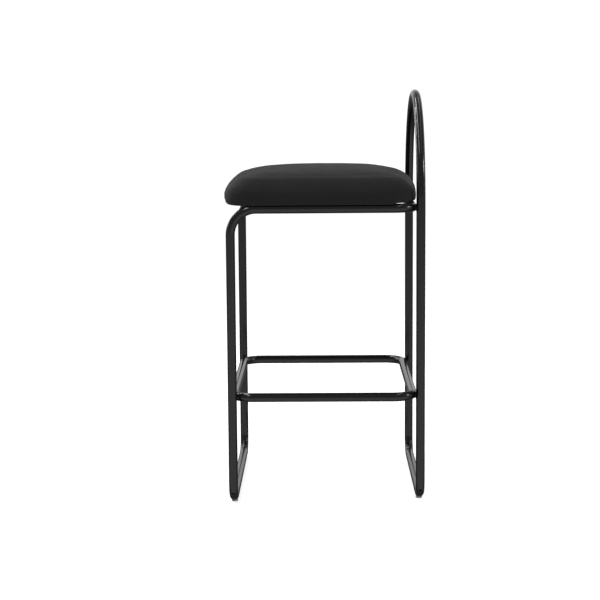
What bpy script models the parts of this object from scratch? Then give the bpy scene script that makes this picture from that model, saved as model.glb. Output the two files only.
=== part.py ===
"""Counter-height stool: two bent steel tubes and a footrest ring, welded, with a screwed-on padded seat.

The sitter faces -X, the backrest arch is at +X, and +Z is up. The origin is on the floor under the
middle of the stool's overall length and width.
"""
import math

import bmesh
import bpy
from mathutils import Matrix, Vector

# ---- Frame sizes, in metres ----
TUBE_DIAMETER = 0.018
TUBE_WALL = 0.0015
LEG_SPACING = 0.372            # front leg centre to rear leg centre
FRAME_WIDTH = 0.452            # centre to centre of the side rails, the front legs and the footrest sides
OVERALL_HEIGHT = 0.8212
SEAT_RAIL_HEIGHT = 0.5917      # centre of the rails that carry the seat
FOOTREST_HEIGHT = 0.2198       # centre of the footrest ring
FLOOR_BEND_RADIUS = 0.036      # the bends between a floor bar and its legs
TOP_BEND_RADIUS = 0.050        # the bends from the front legs into the side rails
SEAT_CORNER_RADIUS = 0.040     # the side rails turning into the rear cross rail
FOOTREST_CORNER_RADIUS = 0.040
REAR_RAIL_SETBACK = 0.015      # the rear cross rail's centre, ahead of the rear legs' centres
FIT_GAP = 0.0003               # between pieces that touch
VENT_DIAMETER = 0.0056
VENT_HEIGHT = 0.026            # the legs' vent holes above the floor
BEND_STEPS = 6                 # facets in a quarter turn
ARCH_STEPS = 12
TUBE_SIDES = 16
BORE_SIDES = 12
SMALL_SIDES = 16               # facets round a screw, a nut, a glide or a weld

# ---- Welds ----
WELD_DIAMETER = 0.0130
WELD_CORE_DIAMETER = 0.0064    # the middle of the joint, where the tubes are too close to fill
TAB_WELD_DIAMETER = 0.0064
TAB_WELD_LENGTH = 0.020

# ---- Glides under the floor bars ----
GLIDE_DIAMETER = 0.013
GLIDE_HEIGHT = 0.0050          # floor to the underside of the tube
GLIDE_CHAMFER = 0.0010
GLIDE_PIN_DIAMETER = 0.0054
GLIDE_BARB_DIAMETER = 0.0066
GLIDE_BARB_HEIGHT = 0.0012
GLIDE_FROM_BEND = 0.0005       # from the end of the bend to the glide's edge

# ---- Seat ----
CUSHION_SIDE_OVERHANG = 0.012  # outside the side rails' centres
CUSHION_OVERHANG = 0.020       # ahead of the front legs' centres
CUSHION_REAR_MARGIN = 0.002    # behind the cushion, to the rear legs' centre line
CUSHION_LEG_CLEARANCE = 0.0095 # between the cushion's rounded corner and a rear leg
CUSHION_THICKNESS = 0.068      # underside to the top of the crown
NOSE_HEIGHT = 0.012            # underside to the widest part of the side
EDGE_WIDTH = 0.032             # plan width of the rounded shoulder
EDGE_RISE = 0.034              # height of the rounded shoulder above the widest part
EDGE_POWER = 1.5               # 2 is a quarter ellipse, lower is flatter
CROWN_POWER = 2.4
CROWN_STEPS = 10
CROWN_FLAT = 0.012             # half width of the level middle of the crown
COVER_THICKNESS = 0.0012
COVER_UNDER_DUST = 0.014       # how far the turned-under cover reaches in past the dust cover's edge
UNDER_ROUND_WIDTH = 0.012
UNDER_ROUND_STEPS = 4
OUTLINE_STRAIGHT = 0.0005      # half of the straight left between the corners of a small outline
BOARD_INSET = 0.016            # cushion outline to the board's edge
BOARD_THICKNESS = 0.012
DUST_COVER_TO_TAB = 0.004
DUST_COVER_THICKNESS = 0.0006

# ---- Seat fixings ----
TAB_LENGTH = 0.026             # along the rail
TAB_THICKNESS = 0.003
TAB_END_MARGIN = 0.010         # screw centre to the tab's free end
SCREW_FROM_RAIL = 0.017        # screw centre to the rail's inner face
FRONT_TAB_DISTANCE = 0.085     # behind the front legs
REAR_TAB_DISTANCE = 0.085      # ahead of the rear legs
SCREW_DIAMETER = 0.006
SCREW_HEAD_DIAMETER = 0.0115
SCREW_HEAD_HEIGHT = 0.0035
SCREW_HEAD_FACE_DIAMETER = 0.00828
SCREW_HEAD_RIM = 0.0012        # height of the head's upright edge
SCREW_TIP_CHAMFER = 0.001
SCREW_SOCKET_WIDTH = 0.004
SCREW_SOCKET_DEPTH = 0.0022
WASHER_DIAMETER = 0.015
WASHER_THICKNESS = 0.0012
HOLE_CLEARANCE = 0.0005        # around the screw, on the radius
TEE_NUT_FLANGE_DIAMETER = 0.018
TEE_NUT_FLANGE_THICKNESS = 0.0012
TEE_NUT_BARREL_WALL = 0.0011
TEE_NUT_BARREL_LENGTH = 0.0085
COVER_HOLE_MARGIN = 0.0015     # cover fabric kept back from the screw, on the radius

# ---- Places worked out from the sizes above ----
TUBE_RADIUS = TUBE_DIAMETER / 2
OVERALL_DEPTH = CUSHION_OVERHANG + LEG_SPACING + TUBE_RADIUS
FRONT_X = CUSHION_OVERHANG - OVERALL_DEPTH / 2
REAR_X = FRONT_X + LEG_SPACING
SIDE_Y = FRAME_WIDTH / 2
FLOOR_Z = GLIDE_HEIGHT + TUBE_RADIUS
ARCH_TOP_Z = OVERALL_HEIGHT - TUBE_RADIUS
RAIL_TOP_Z = SEAT_RAIL_HEIGHT + TUBE_RADIUS
SEAT_REAR_X = REAR_X - REAR_RAIL_SETBACK


def reach(corner_radius, offset):
    """Distance from a bend's centre to a touching leg, along one axis, when offset is the other's."""
    return math.sqrt((corner_radius + TUBE_DIAMETER + FIT_GAP) ** 2 - offset ** 2)


# A rear leg touches the outside of the seat frame's rear corner.
REAR_Y = SIDE_Y - SEAT_CORNER_RADIUS + reach(SEAT_CORNER_RADIUS, SEAT_CORNER_RADIUS + REAR_RAIL_SETBACK)
# The footrest's corners touch the inner faces of all four legs.
RING_CENTRE_Y = SIDE_Y - FOOTREST_CORNER_RADIUS
RING_FRONT_CENTRE_X = FRONT_X + reach(FOOTREST_CORNER_RADIUS, SIDE_Y - RING_CENTRE_Y)
RING_REAR_CENTRE_X = REAR_X - reach(FOOTREST_CORNER_RADIUS, REAR_Y - RING_CENTRE_Y)
RING_FRONT_X = RING_FRONT_CENTRE_X - FOOTREST_CORNER_RADIUS
RING_REAR_X = RING_REAR_CENTRE_X + FOOTREST_CORNER_RADIUS

CUSHION_FRONT_X = FRONT_X - CUSHION_OVERHANG
CUSHION_REAR_X = REAR_X - CUSHION_REAR_MARGIN
CUSHION_X = (CUSHION_FRONT_X + CUSHION_REAR_X) / 2
CUSHION_HALF = ((CUSHION_REAR_X - CUSHION_FRONT_X) / 2, SIDE_Y + CUSHION_SIDE_OVERHANG)


def corner_radius_past_leg():
    """Radius of a cushion corner, seen from above, that passes a rear leg at the wanted clearance."""
    behind = CUSHION_REAR_MARGIN
    beside = CUSHION_HALF[1] - REAR_Y
    keep_out = TUBE_RADIUS + CUSHION_LEG_CLEARANCE
    half_sum = beside + keep_out - behind
    return half_sum + math.sqrt(half_sum ** 2 - behind ** 2 - beside ** 2 + keep_out ** 2)


CUSHION_CORNER_RADIUS = corner_radius_past_leg()
COVER_BOTTOM_Z = RAIL_TOP_Z + FIT_GAP
BOARD_BOTTOM_Z = COVER_BOTTOM_Z + COVER_THICKNESS + FIT_GAP
BOARD_TOP_Z = BOARD_BOTTOM_Z + BOARD_THICKNESS
TAB_TOP_Z = RAIL_TOP_Z
TAB_BOTTOM_Z = TAB_TOP_Z - TAB_THICKNESS
WASHER_TOP_Z = TAB_BOTTOM_Z - FIT_GAP
HEAD_TOP_Z = WASHER_TOP_Z - WASHER_THICKNESS - FIT_GAP
TEE_NUT_SEAT_Z = BOARD_TOP_Z - TEE_NUT_FLANGE_THICKNESS
SCREW_RADIUS = SCREW_DIAMETER / 2
CLEAR_RADIUS = SCREW_RADIUS + HOLE_CLEARANCE
BARREL_RADIUS = CLEAR_RADIUS + TEE_NUT_BARREL_WALL
SCREW_Y = SIDE_Y - TUBE_RADIUS - SCREW_FROM_RAIL
DUST_COVER_INSET = CUSHION_HALF[1] - (SCREW_Y - TAB_END_MARGIN - DUST_COVER_TO_TAB)
COVER_TURN_UNDER = DUST_COVER_INSET + COVER_UNDER_DUST
SCREW_PLACES = {
    "front_left": (FRONT_X + FRONT_TAB_DISTANCE, -SCREW_Y),
    "front_right": (FRONT_X + FRONT_TAB_DISTANCE, SCREW_Y),
    "rear_left": (REAR_X - REAR_TAB_DISTANCE, -SCREW_Y),
    "rear_right": (REAR_X - REAR_TAB_DISTANCE, SCREW_Y),
}


# ---- Objects and materials ----
for old in list(bpy.data.objects):
    bpy.data.objects.remove(old, do_unlink=True)


def make_material(name, color, roughness, metallic=0.0):
    material = bpy.data.materials.new(name)
    material.use_nodes = True
    shader = material.node_tree.nodes["Principled BSDF"]
    shader.inputs["Base Color"].default_value = (*color, 1.0)
    shader.inputs["Roughness"].default_value = roughness
    shader.inputs["Metallic"].default_value = metallic
    material.diffuse_color = (*color, 1.0)
    return material


POWDER_COAT = (0.020, 0.019, 0.018)
ZINC = (0.62, 0.62, 0.60)
LOOKS = {
    "frame_coat": (POWDER_COAT, 0.42, 0.0),
    "weld_coat": (POWDER_COAT, 0.48, 0.0),
    "zinc_steel": (ZINC, 0.35, 1.0),
    "glide_plastic": ((0.20, 0.20, 0.20), 0.45, 0.0),
    "seat_fabric": ((0.035, 0.033, 0.033), 0.90, 0.0),
    "foam": ((0.80, 0.74, 0.55), 0.95, 0.0),
    "plywood": ((0.62, 0.45, 0.27), 0.70, 0.0),
    "dust_cloth": ((0.03, 0.03, 0.03), 0.95, 0.0),
}


def add_object(name, mesh, look, smooth=True):
    """Put a finished mesh in the scene with a material of its own."""
    if smooth:
        mesh.shade_smooth()
        mesh.set_sharp_from_angle(angle=math.radians(35))
    color, roughness, metallic = LOOKS[look]
    mesh.materials.append(make_material(f"{name}_material", color, roughness, metallic))
    part = bpy.data.objects.new(name, mesh)
    bpy.context.scene.collection.objects.link(part)
    return part


def add_cutter(name, mesh):
    cutter = bpy.data.objects.new(name, mesh)
    bpy.context.scene.collection.objects.link(cutter)
    cutter.hide_render = True
    cutter.display_type = "WIRE"
    return cutter


def combine(part, tool, operation="DIFFERENCE"):
    boolean = part.modifiers.new(tool.name, "BOOLEAN")
    boolean.solver = "EXACT"
    boolean.operation = operation
    boolean.object = tool


def finish_mesh(name, build):
    """Turn a bmesh into a mesh whose faces point out."""
    bmesh.ops.recalc_face_normals(build, faces=build.faces)
    mesh = bpy.data.meshes.new(name)
    build.to_mesh(mesh)
    build.free()
    return mesh


# ---- Tubes ----
def rounded_loop(corners, radii, steps):
    """Points round a closed route of straight runs, with an arc of its own radius at each corner."""
    points = []
    for index, corner in enumerate(corners):
        corner = Vector(corner)
        toward_last = (Vector(corners[index - 1]) - corner).normalized()
        toward_next = (Vector(corners[(index + 1) % len(corners)]) - corner).normalized()
        radius = radii[index]
        centre = corner + (toward_last + toward_next) * radius
        for step in range(steps[index] + 1):
            angle = math.pi / 2 * step / steps[index]
            point = centre - toward_next * radius * math.cos(angle) - toward_last * radius * math.sin(angle)
            if not points or (point - points[-1]).length > 1e-6:
                points.append(point)
    return points


def tube_mesh(name, points, radius, sides):
    """A closed tube round a loop: each section lies in the plane that halves the bend there."""
    build = bmesh.new()
    count = len(points)
    side = None
    rings = []
    for index, point in enumerate(points):
        before = (point - points[index - 1]).normalized()
        after = (points[(index + 1) % count] - point).normalized()
        along = (before + after).normalized()
        stretch = 1 / along.dot(after)
        bend = after - before
        if side is None:
            side = along.orthogonal().normalized()
            if abs(along.y) < 0.99:
                side = Vector((0, 1, 0))
        side = (side - along * side.dot(along)).normalized()
        across = along.cross(side)
        ring = []
        for corner in range(sides):
            angle = math.tau * (corner + 0.5) / sides
            offset = (side * math.cos(angle) + across * math.sin(angle)) * radius
            if bend.length > 1e-6:
                inward = bend.normalized()
                offset += inward * offset.dot(inward) * (stretch - 1)
            ring.append(build.verts.new(point + offset))
        rings.append(ring)
    for index in range(count - 1):
        bridge(build, rings[index], rings[index + 1], 0)
    # The last section may be turned against the first, by a whole number of sides.
    start = rings[-1][0].co - points[-1]
    turns = [(rings[0][turn].co - points[0] - start).length for turn in range(sides)]
    bridge(build, rings[-1], rings[0], turns.index(min(turns)))
    return finish_mesh(name, build)


def bridge(build, first, second, turn):
    sides = len(first)
    for corner in range(sides):
        after = (corner + 1) % sides
        build.faces.new((first[corner], first[after],
                         second[(after + turn) % sides], second[(corner + turn) % sides]))


def cylinder_mesh(name, start, end, radius, sides=SMALL_SIDES):
    """A round bar between two points."""
    start = Vector(start)
    end = Vector(end)
    build = bmesh.new()
    bmesh.ops.create_cone(build, cap_ends=True, segments=sides, radius1=radius, radius2=radius,
                          depth=(end - start).length)
    turn = Vector((0, 0, 1)).rotation_difference(end - start).to_matrix().to_4x4()
    bmesh.ops.transform(build, matrix=Matrix.Translation((start + end) / 2) @ turn, verts=build.verts)
    return finish_mesh(name, build)


def hollow_tube(name, route):
    """A tube with its bore, and a fatter copy that keeps its neighbours clear."""
    tube = add_object(name, tube_mesh(name, route, TUBE_RADIUS, TUBE_SIDES), "frame_coat")
    bore = tube_mesh(f"{name}_bore", route, TUBE_RADIUS - TUBE_WALL, BORE_SIDES)
    combine(tube, add_cutter(f"{name}_bore", bore))
    clear = tube_mesh(f"{name}_clear", route, TUBE_RADIUS + FIT_GAP, TUBE_SIDES)
    return tube, add_cutter(f"{name}_clear", clear)


def drill(part, name, start, end, diameter):
    combine(part, add_cutter(name, cylinder_mesh(name, start, end, diameter / 2, BORE_SIDES)))


def front_route():
    """Floor bar, front legs, side rails and rear cross rail in one length."""
    corners = [(FRONT_X, -SIDE_Y, FLOOR_Z), (FRONT_X, SIDE_Y, FLOOR_Z),
               (FRONT_X, SIDE_Y, SEAT_RAIL_HEIGHT), (SEAT_REAR_X, SIDE_Y, SEAT_RAIL_HEIGHT),
               (SEAT_REAR_X, -SIDE_Y, SEAT_RAIL_HEIGHT), (FRONT_X, -SIDE_Y, SEAT_RAIL_HEIGHT)]
    radii = [FLOOR_BEND_RADIUS] * 2 + [TOP_BEND_RADIUS] + [SEAT_CORNER_RADIUS] * 2 + [TOP_BEND_RADIUS]
    return rounded_loop(corners, radii, [BEND_STEPS] * 6)


def rear_route():
    """Floor bar, rear legs and the half-round backrest."""
    corners = [(REAR_X, -REAR_Y, FLOOR_Z), (REAR_X, REAR_Y, FLOOR_Z),
               (REAR_X, REAR_Y, ARCH_TOP_Z), (REAR_X, -REAR_Y, ARCH_TOP_Z)]
    radii = [FLOOR_BEND_RADIUS] * 2 + [REAR_Y] * 2
    return rounded_loop(corners, radii, [BEND_STEPS] * 2 + [ARCH_STEPS] * 2)


def footrest_route():
    corners = [(RING_FRONT_X, -SIDE_Y, FOOTREST_HEIGHT), (RING_FRONT_X, SIDE_Y, FOOTREST_HEIGHT),
               (RING_REAR_X, SIDE_Y, FOOTREST_HEIGHT), (RING_REAR_X, -SIDE_Y, FOOTREST_HEIGHT)]
    return rounded_loop(corners, [FOOTREST_CORNER_RADIUS] * 4, [BEND_STEPS] * 4)


front_tube, front_clear = hollow_tube("front_frame_tube", front_route())
rear_tube, rear_clear = hollow_tube("rear_arch_tube", rear_route())
footrest, footrest_clear = hollow_tube("footrest_ring", footrest_route())


def vent_leg(tube, name, x, leg_y):
    """Vent through the outer wall of a leg's floor bend, square to the tube there."""
    side = math.copysign(1, leg_y)
    centre = Vector((x, leg_y - side * FLOOR_BEND_RADIUS, FLOOR_Z + FLOOR_BEND_RADIUS))
    fall = (centre.z - VENT_HEIGHT) / (FLOOR_BEND_RADIUS + TUBE_RADIUS)
    outward = Vector((0, side * math.sqrt(1 - fall ** 2), -fall))
    start = centre + outward * FLOOR_BEND_RADIUS
    drill(tube, name, start, start + outward * TUBE_DIAMETER, VENT_DIAMETER)


for side_name, sign in (("left", -1), ("right", 1)):
    vent_leg(front_tube, f"front_vent_{side_name}", FRONT_X, sign * SIDE_Y)
    vent_leg(rear_tube, f"rear_vent_{side_name}", REAR_X, sign * REAR_Y)
drill(footrest, "footrest_vent", (RING_REAR_X, 0, FOOTREST_HEIGHT),
      (RING_REAR_X, 0, FOOTREST_HEIGHT - TUBE_DIAMETER), VENT_DIAMETER)


# ---- Welds where the tubes touch ----
def add_weld(name, leg, bend_centre, first, second):
    """A ring of weld metal round the point where a leg touches the outside of a bend."""
    leg = Vector(leg)
    inward = (Vector(bend_centre) - leg).normalized()
    touch = leg + inward * (TUBE_RADIUS + FIT_GAP / 2)
    start = touch - inward * TUBE_RADIUS
    end = touch + inward * TUBE_RADIUS
    weld = add_object(name, cylinder_mesh(name, start, end, WELD_DIAMETER / 2), "weld_coat")
    core = cylinder_mesh(f"{name}_core", start - inward * FIT_GAP, end + inward * FIT_GAP,
                         WELD_CORE_DIAMETER / 2, BORE_SIDES)
    combine(weld, add_cutter(f"{name}_core", core))
    combine(weld, first)
    combine(weld, second)


for side_name, sign in (("left", -1), ("right", 1)):
    ring_y = sign * RING_CENTRE_Y
    add_weld(f"footrest_weld_front_{side_name}", (FRONT_X, sign * SIDE_Y, FOOTREST_HEIGHT),
             (RING_FRONT_CENTRE_X, ring_y, FOOTREST_HEIGHT), front_clear, footrest_clear)
    add_weld(f"footrest_weld_rear_{side_name}", (REAR_X, sign * REAR_Y, FOOTREST_HEIGHT),
             (RING_REAR_CENTRE_X, ring_y, FOOTREST_HEIGHT), rear_clear, footrest_clear)
    corner_y = sign * (SIDE_Y - SEAT_CORNER_RADIUS)
    add_weld(f"seat_weld_{side_name}", (REAR_X, sign * REAR_Y, SEAT_RAIL_HEIGHT),
             (SEAT_REAR_X - SEAT_CORNER_RADIUS, corner_y, SEAT_RAIL_HEIGHT), rear_clear, front_clear)


# ---- Turned pieces ----
def turned_mesh(name, profile, x, y, sides=SMALL_SIDES):
    """Spin an outline of (radius, height) points, which starts and ends on the axis, about an upright."""
    build = bmesh.new()
    rings = []
    for radius, height in profile:
        if radius == 0:
            rings.append([build.verts.new((x, y, height))])
            continue
        rings.append([build.verts.new((x + radius * math.cos(math.tau * step / sides),
                                       y + radius * math.sin(math.tau * step / sides), height))
                      for step in range(sides)])
    for first, second in zip(rings, rings[1:]):
        for step in range(sides):
            after = (step + 1) % sides
            face = [first[step % len(first)], first[after % len(first)],
                    second[after % len(second)], second[step % len(second)]]
            build.faces.new(list(dict.fromkeys(face)))
    return finish_mesh(name, build)


# ---- Glides ----
def add_glide(name, tube, clear, x, y):
    """A foot that follows the tube's underside, with a barbed pin through a hole in the wall."""
    radius = GLIDE_DIAMETER / 2
    foot_top = FLOOR_Z - TUBE_RADIUS / 2
    foot = [(0, 0), (radius - GLIDE_CHAMFER, 0), (radius, GLIDE_CHAMFER), (radius, foot_top), (0, foot_top)]
    glide = add_object(name, turned_mesh(name, foot, x, y), "glide_plastic")
    combine(glide, clear)
    pin_radius = GLIDE_PIN_DIAMETER / 2
    bore_radius = (TUBE_RADIUS - TUBE_WALL) * math.cos(math.pi / BORE_SIDES)
    barb_base = FLOOR_Z - math.sqrt(bore_radius ** 2 - (GLIDE_BARB_DIAMETER / 2) ** 2) + FIT_GAP
    barb_top = barb_base + GLIDE_BARB_HEIGHT
    pin_root = GLIDE_HEIGHT / 2
    pin = [(0, pin_root), (pin_radius, pin_root), (pin_radius, barb_base),
           (GLIDE_BARB_DIAMETER / 2, barb_base), (pin_radius, barb_top), (0, barb_top)]
    combine(glide, add_cutter(f"{name}_pin", turned_mesh(f"{name}_pin", pin, x, y)), "UNION")
    drill(tube, f"{name}_hole", (x, y, GLIDE_HEIGHT - FIT_GAP), (x, y, FLOOR_Z),
          GLIDE_PIN_DIAMETER + 2 * FIT_GAP)


GLIDE_FROM_LEG = FLOOR_BEND_RADIUS + GLIDE_FROM_BEND + GLIDE_DIAMETER / 2
for side_name, sign in (("left", -1), ("right", 1)):
    add_glide(f"glide_front_{side_name}", front_tube, front_clear,
              FRONT_X, sign * (SIDE_Y - GLIDE_FROM_LEG))
    add_glide(f"glide_rear_{side_name}", rear_tube, rear_clear,
              REAR_X, sign * (REAR_Y - GLIDE_FROM_LEG))


# ---- Seat ----
def outline(inset):
    """The cushion's plan outline, drawn in by an inset, as the same number of points each time."""
    half_x = CUSHION_HALF[0] - inset
    half_y = CUSHION_HALF[1] - inset
    radius = min(CUSHION_CORNER_RADIUS, half_x - OUTLINE_STRAIGHT, half_y - OUTLINE_STRAIGHT)
    points = []
    for quarter in range(4):
        sign_x = 1 if quarter in (0, 3) else -1
        sign_y = 1 if quarter in (0, 1) else -1
        centre_x = CUSHION_X + sign_x * (half_x - radius)
        centre_y = sign_y * (half_y - radius)
        for step in range(BEND_STEPS + 1):
            angle = math.pi / 2 * (quarter + step / BEND_STEPS)
            points.append((centre_x + radius * math.cos(angle), centre_y + radius * math.sin(angle)))
    return points


def layered_mesh(name, profile):
    """A solid of outlines at (inset, height) levels, closed by a flat face at each end."""
    build = bmesh.new()
    rings = [[build.verts.new((x, y, height)) for x, y in outline(inset)] for inset, height in profile]
    for first, second in zip(rings, rings[1:]):
        bridge(build, first, second, 0)
    build.faces.new(rings[0])
    build.faces.new(rings[-1])
    return finish_mesh(name, build)


MIDDLE_INSET = min(CUSHION_HALF) - CROWN_FLAT


def cushion_skin():
    """(inset, height) from the turned-under hem, round the side and up over the crown."""
    crown_rise = CUSHION_THICKNESS - NOSE_HEIGHT - EDGE_RISE
    skin = [(COVER_TURN_UNDER, 0.0)]
    for step in range(UNDER_ROUND_STEPS + 1):
        angle = math.pi / 2 * step / UNDER_ROUND_STEPS
        skin.append((UNDER_ROUND_WIDTH * (1 - math.sin(angle)), NOSE_HEIGHT * (1 - math.cos(angle))))
    for step in range(1, CROWN_STEPS + 1):
        inset = MIDDLE_INSET * (step / CROWN_STEPS) ** 2
        level = max(0.0, 1 - inset / EDGE_WIDTH)
        edge = EDGE_RISE * (1 - level ** EDGE_POWER) ** (1 / EDGE_POWER)
        crown = crown_rise * (1 - (1 - inset / MIDDLE_INSET) ** CROWN_POWER)
        skin.append((inset, NOSE_HEIGHT + edge + crown))
    return [(inset, COVER_BOTTOM_Z + height) for inset, height in skin]


def shrink(skin, distance):
    """The skin moved inward, square to itself, with its two ends kept on their insets."""
    hem_inset, hem_height = skin[0]
    top_inset, top_height = skin[-1]
    moved = [(hem_inset, hem_height + distance)]
    for last, (inset, height), after in zip(skin, skin[1:], skin[2:]):
        run = Vector((after[0] - last[0], after[1] - last[1])).normalized()
        moved.append((inset + run.y * distance, height - run.x * distance))
    moved.append((top_inset, top_height - distance))
    return moved


skin = cushion_skin()
cover = add_object("seat_cover", layered_mesh("seat_cover", shrink(skin, COVER_THICKNESS)[::-1] + skin),
                   "seat_fabric")

foam_skin = shrink(skin, COVER_THICKNESS + FIT_GAP)
pocket_inset = BOARD_INSET - FIT_GAP
pocket_top = BOARD_TOP_Z + FIT_GAP
foam_profile = [(MIDDLE_INSET, pocket_top), (pocket_inset, pocket_top), (pocket_inset, foam_skin[1][1])]
add_object("foam_pad", layered_mesh("foam_pad", foam_profile + foam_skin[1:]), "foam")

board_profile = [(MIDDLE_INSET, BOARD_BOTTOM_Z), (BOARD_INSET, BOARD_BOTTOM_Z),
                 (BOARD_INSET, BOARD_TOP_Z), (MIDDLE_INSET, BOARD_TOP_Z)]
board = add_object("seat_board", layered_mesh("seat_board", board_profile), "plywood")

dust_top = COVER_BOTTOM_Z - FIT_GAP
dust_bottom = dust_top - DUST_COVER_THICKNESS
dust_profile = [(MIDDLE_INSET, dust_bottom), (DUST_COVER_INSET, dust_bottom),
                (DUST_COVER_INSET, dust_top), (MIDDLE_INSET, dust_top)]
add_object("dust_cover", layered_mesh("dust_cover", dust_profile), "dust_cloth")


# ---- Seat fixings ----
def add_tab(place, x, y):
    """A plate welded to the inside of a side rail, level with its top."""
    sign = math.copysign(1, y)
    free_end = y - sign * TAB_END_MARGIN
    rail_end = sign * SIDE_Y

    def plate(name, grow):
        build = bmesh.new()
        bmesh.ops.create_cube(build, size=1.0)
        size = (TAB_LENGTH + 2 * grow, abs(rail_end - free_end) + 2 * grow, TAB_THICKNESS + 2 * grow)
        middle = Vector((x, (free_end + rail_end) / 2, (TAB_TOP_Z + TAB_BOTTOM_Z) / 2))
        bmesh.ops.scale(build, vec=size, verts=build.verts)
        bmesh.ops.translate(build, vec=middle, verts=build.verts)
        return finish_mesh(name, build)

    tab = add_object(f"mounting_tab_{place}", plate(f"tab_{place}", 0.0), "frame_coat", smooth=False)
    combine(tab, front_clear)
    drill(tab, f"tab_hole_{place}", (x, y, TAB_BOTTOM_Z - TAB_THICKNESS), (x, y, TAB_TOP_Z + TAB_THICKNESS),
          2 * CLEAR_RADIUS)

    drop = SEAT_RAIL_HEIGHT - TAB_BOTTOM_Z
    root_y = sign * (SIDE_Y - math.sqrt(TUBE_RADIUS ** 2 - drop ** 2))
    name = f"tab_weld_{place}"
    half = Vector((TAB_WELD_LENGTH / 2, 0, 0))
    root = Vector((x, root_y, TAB_BOTTOM_Z))
    bead = cylinder_mesh(name, root - half, root + half, TAB_WELD_DIAMETER / 2)
    weld = add_object(name, bead, "weld_coat")
    # The bead fills only the corner under the plate.
    combine(weld, add_cutter(f"{name}_plate", plate(f"{name}_plate", FIT_GAP)))
    combine(weld, front_clear)


def add_fixing(place, x, y):
    """Washer and socket-head screw from below, into a tee nut let into the board's top."""
    head_radius = SCREW_HEAD_DIAMETER / 2
    washer_bottom = WASHER_TOP_Z - WASHER_THICKNESS
    ring = [(0, washer_bottom), (WASHER_DIAMETER / 2, washer_bottom),
            (WASHER_DIAMETER / 2, WASHER_TOP_Z), (0, WASHER_TOP_Z)]
    washer = add_object(f"seat_washer_{place}", turned_mesh(f"washer_{place}", ring, x, y), "zinc_steel")
    drill(washer, f"washer_hole_{place}", (x, y, washer_bottom - FIT_GAP), (x, y, WASHER_TOP_Z + FIT_GAP),
          2 * CLEAR_RADIUS)

    head_bottom = HEAD_TOP_Z - SCREW_HEAD_HEIGHT
    tip = TEE_NUT_SEAT_Z
    screw_profile = [(0, head_bottom), (SCREW_HEAD_FACE_DIAMETER / 2, head_bottom),
                     (head_radius, HEAD_TOP_Z - SCREW_HEAD_RIM), (head_radius, HEAD_TOP_Z),
                     (SCREW_RADIUS, HEAD_TOP_Z), (SCREW_RADIUS, tip - SCREW_TIP_CHAMFER),
                     (SCREW_RADIUS - SCREW_TIP_CHAMFER, tip), (0, tip)]
    screw_body = turned_mesh(f"screw_{place}", screw_profile, x, y)
    screw = add_object(f"seat_screw_{place}", screw_body, "zinc_steel")
    socket = cylinder_mesh(f"socket_{place}", (x, y, head_bottom - FIT_GAP),
                           (x, y, head_bottom + SCREW_SOCKET_DEPTH), SCREW_SOCKET_WIDTH / math.sqrt(3), 6)
    combine(screw, add_cutter(f"socket_{place}", socket))

    barrel_bottom = TEE_NUT_SEAT_Z - TEE_NUT_BARREL_LENGTH
    flange_radius = TEE_NUT_FLANGE_DIAMETER / 2
    nut_profile = [(0, barrel_bottom), (BARREL_RADIUS, barrel_bottom), (BARREL_RADIUS, TEE_NUT_SEAT_Z),
                   (flange_radius, TEE_NUT_SEAT_Z), (flange_radius, BOARD_TOP_Z), (0, BOARD_TOP_Z)]
    nut = add_object(f"tee_nut_{place}", turned_mesh(f"tee_nut_{place}", nut_profile, x, y), "zinc_steel")
    drill(nut, f"nut_hole_{place}", (x, y, barrel_bottom - FIT_GAP), (x, y, BOARD_TOP_Z + FIT_GAP),
          2 * CLEAR_RADIUS)

    hole_radius = BARREL_RADIUS + FIT_GAP
    recess_radius = flange_radius + FIT_GAP
    recess_bottom = TEE_NUT_SEAT_Z - FIT_GAP
    below = BOARD_BOTTOM_Z - FIT_GAP
    pocket = [(0, below), (hole_radius, below), (hole_radius, recess_bottom), (recess_radius, recess_bottom),
              (recess_radius, BOARD_TOP_Z + FIT_GAP), (0, BOARD_TOP_Z + FIT_GAP)]
    pocket_mesh = turned_mesh(f"board_hole_{place}", pocket, x, y)
    combine(board, add_cutter(f"board_hole_{place}", pocket_mesh))
    drill(cover, f"cover_hole_{place}", (x, y, COVER_BOTTOM_Z - FIT_GAP),
          (x, y, COVER_BOTTOM_Z + COVER_THICKNESS + FIT_GAP), 2 * (CLEAR_RADIUS + COVER_HOLE_MARGIN))


for place, (x, y) in SCREW_PLACES.items():
    add_tab(place, x, y)
    add_fixing(place, x, y)
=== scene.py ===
"""Looks of the counter stool: coated tubes, welds, a simulated wool cushion, its underside and the studio."""
import math

import bmesh
import bpy
import numpy as np
from mathutils import Matrix, Vector, noise


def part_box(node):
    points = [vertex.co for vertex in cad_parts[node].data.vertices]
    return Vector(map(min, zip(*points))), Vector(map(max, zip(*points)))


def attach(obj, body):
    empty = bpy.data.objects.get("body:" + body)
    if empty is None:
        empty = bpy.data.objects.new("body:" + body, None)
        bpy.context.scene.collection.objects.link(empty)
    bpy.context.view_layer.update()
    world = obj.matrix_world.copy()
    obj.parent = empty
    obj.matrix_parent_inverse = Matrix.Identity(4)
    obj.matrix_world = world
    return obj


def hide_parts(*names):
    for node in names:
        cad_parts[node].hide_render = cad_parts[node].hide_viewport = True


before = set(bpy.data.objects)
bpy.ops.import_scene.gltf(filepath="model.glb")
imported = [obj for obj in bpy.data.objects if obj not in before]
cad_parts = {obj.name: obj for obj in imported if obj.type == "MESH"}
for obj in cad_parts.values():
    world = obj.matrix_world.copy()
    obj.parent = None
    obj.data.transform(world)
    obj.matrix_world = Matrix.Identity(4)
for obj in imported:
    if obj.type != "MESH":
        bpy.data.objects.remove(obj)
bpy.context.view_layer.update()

MM = 0.001

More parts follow.
